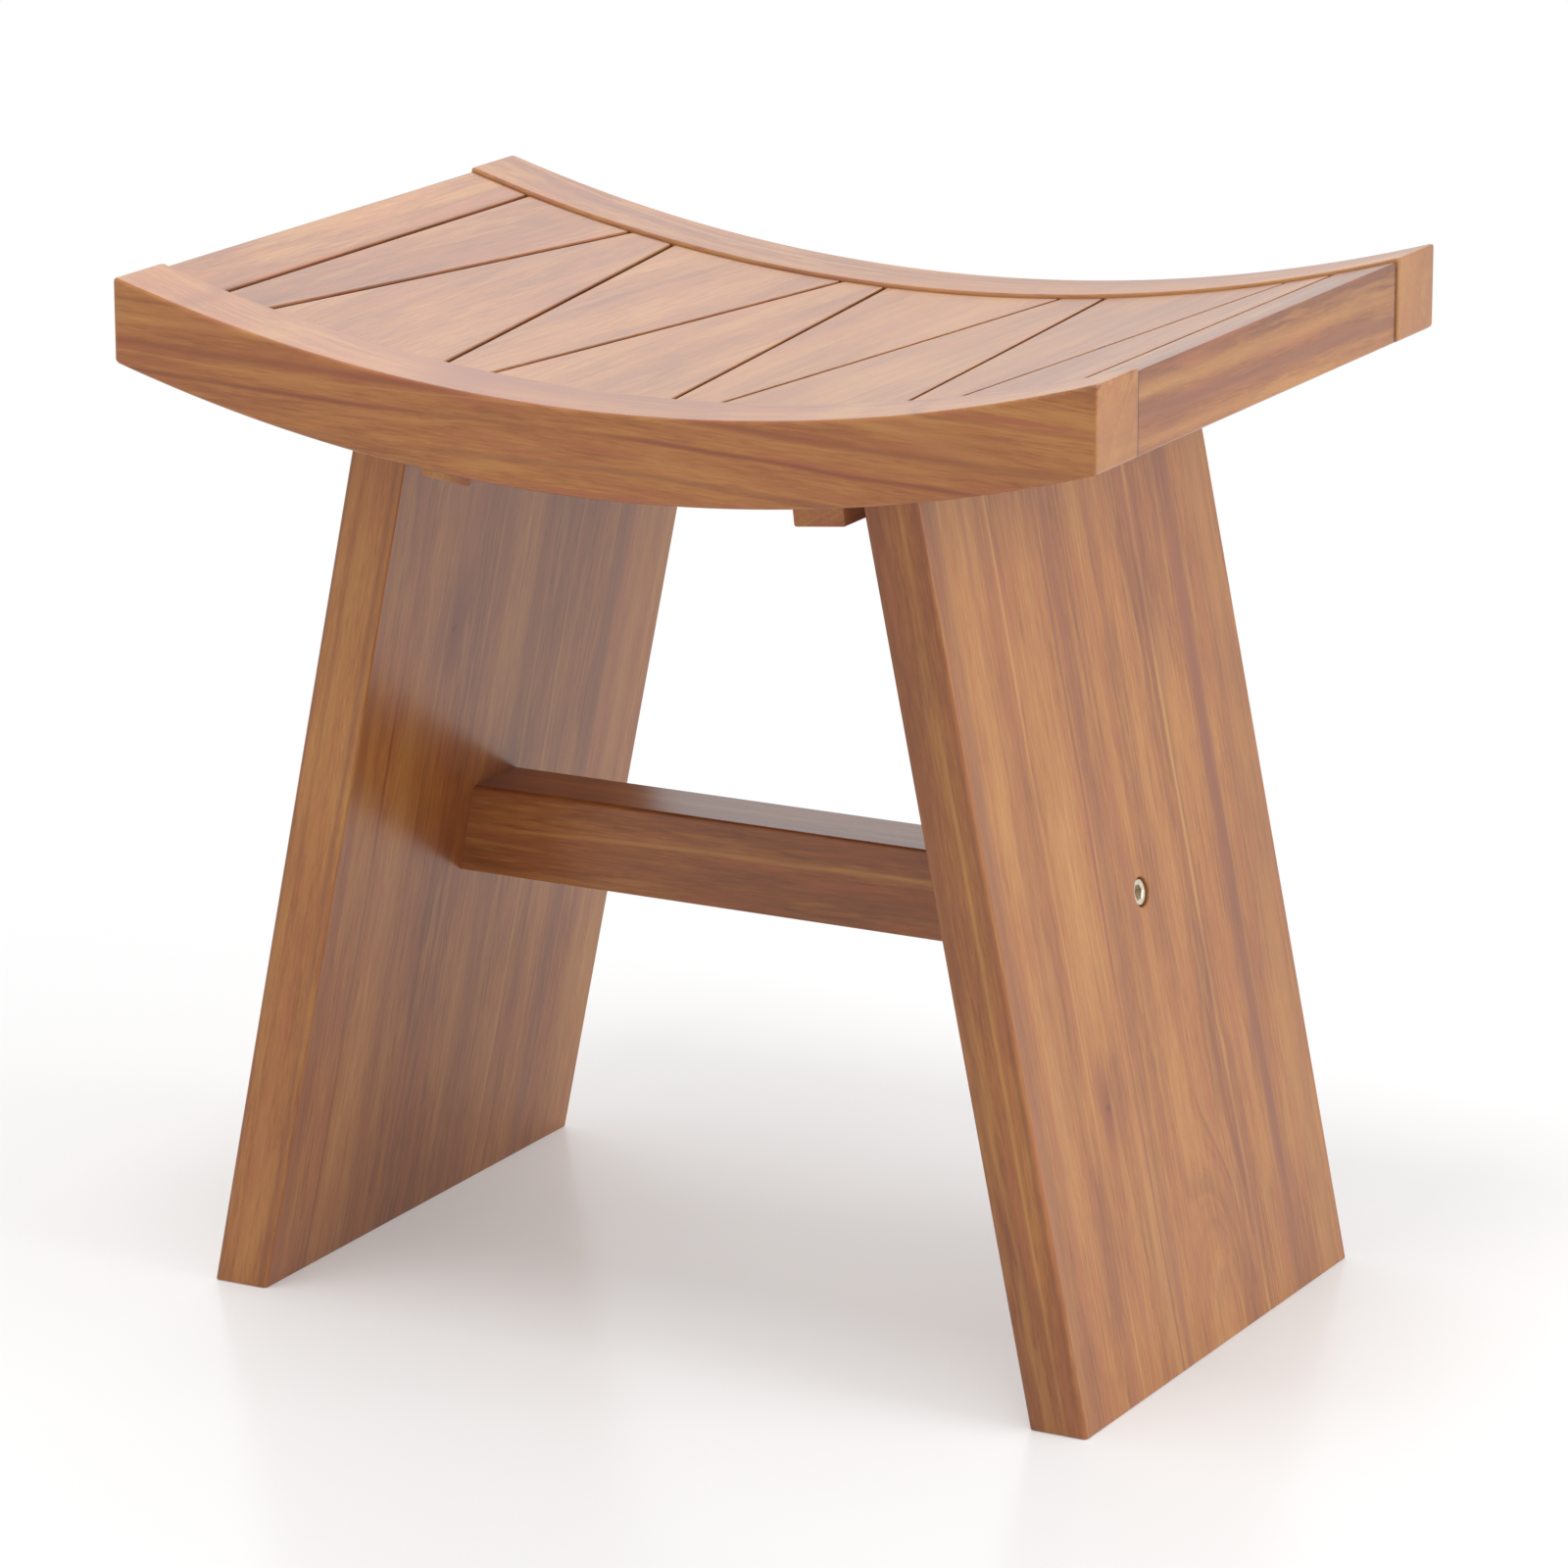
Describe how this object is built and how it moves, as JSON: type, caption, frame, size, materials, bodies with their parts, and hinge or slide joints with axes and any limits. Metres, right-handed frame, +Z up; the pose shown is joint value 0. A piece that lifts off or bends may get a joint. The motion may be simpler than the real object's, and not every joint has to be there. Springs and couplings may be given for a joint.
{
  "type": "shower bench",
  "caption": "Wooden shower bench with a dished seat of tapered slats between curved rails, splayed panel legs and a stretcher.",
  "frame": {"origin": "on the floor, under the middle of the seat", "axes": "+X along the seat's length, +Y from the seat's front to its rear, +Z up"},
  "size_m": [0.45, 0.324, 0.443],
  "materials": {
    "teak_rail": "satin oiled teak",
    "teak_end": "satin oiled teak",
    "teak_slat": "satin oiled teak",
    "teak_leg": "satin oiled teak",
    "teak_batten": "satin oiled teak",
    "dowel_wood": "plain turned hardwood",
    "bolt_metal": "pale satin brass plating"
  },
  "bodies": {
    "root": {"rail_front": "teak_rail", "rail_rear": "teak_rail", "end_rail_left": "teak_end", "end_rail_right": "teak_end", "slat_1": "teak_slat", "slat_2": "teak_slat", "slat_3": "teak_slat", "slat_4": "teak_slat", "slat_5": "teak_slat", "slat_6": "teak_slat", "slat_7": "teak_slat", "slat_8": "teak_slat", "batten_left": "teak_batten", "batten_right": "teak_batten", "leg_left": "teak_leg", "leg_right": "teak_leg", "stretcher": "teak_leg", "stretcher_bolts": "bolt_metal", "barrel_nuts": "bolt_metal", "stretcher_dowels": "dowel_wood", "leg_bolts": "bolt_metal", "leg_inserts": "bolt_metal", "batten_screws": "bolt_metal"}
  },
  "joints": []
}
